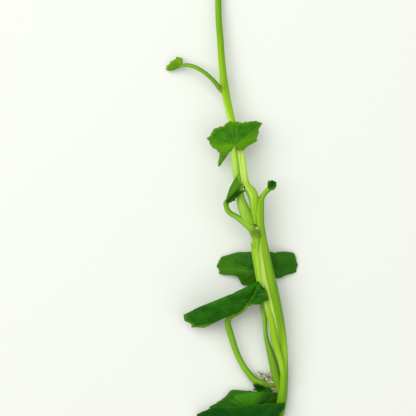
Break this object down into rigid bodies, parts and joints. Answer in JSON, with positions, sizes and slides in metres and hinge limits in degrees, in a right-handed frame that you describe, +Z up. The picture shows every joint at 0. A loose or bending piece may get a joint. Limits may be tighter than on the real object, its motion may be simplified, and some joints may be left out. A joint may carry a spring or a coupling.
{
  "type": "japanese cress shoot",
  "caption": "Cut shoot of Japanese cress lying flat: juicy green stems with lobed, toothed leaves on slender stalks.",
  "frame": {"origin": "middle of the shoot's footprint, on the surface it lies on", "axes": "+Y along the shoot from its cut end to its growing tip, +X to the right seen from above, +Z up"},
  "size_m": [0.0448, 0.1651, 0.015],
  "materials": {
    "stem": "smooth juicy stem, lime green, slightly glossy, paler along its ribs",
    "stalk": "slender leaf stalk, lime green, slightly glossy",
    "bright_blade": "fresh mid-green leaf blade with paler veins, satin",
    "dark_blade": "deep green leaf blade with pale veins and a light toothed edge, satin",
    "young_blade": "young yellow-green leaf blade, satin"
  },
  "bodies": {
    "root": {"short_stem": "stem", "long_stem": "stem", "upper_leaf_stalk": "stalk", "front_leaf_stalk": "stalk", "folded_leaf_stalk": "stalk", "rear_leaf_stalk": "stalk", "large_leaf_stalk": "stalk", "low_front_leaf_stalk": "stalk", "low_rear_leaf_stalk": "stalk", "tip_left_leaf_stalk": "stalk", "tip_right_leaf_stalk": "stalk", "upper_leaf_blade": "young_blade", "front_leaf_blade": "bright_blade", "folded_leaf_blade": "bright_blade", "rear_leaf_blade": "dark_blade", "large_leaf_blade": "dark_blade", "low_front_leaf_blade": "dark_blade", "low_rear_leaf_blade": "bright_blade", "curled_leaf": "young_blade", "tip_left_leaf_blade": "young_blade", "tip_right_leaf_blade": "young_blade", "tip_end_leaf": "young_blade"}
  },
  "joints": []
}
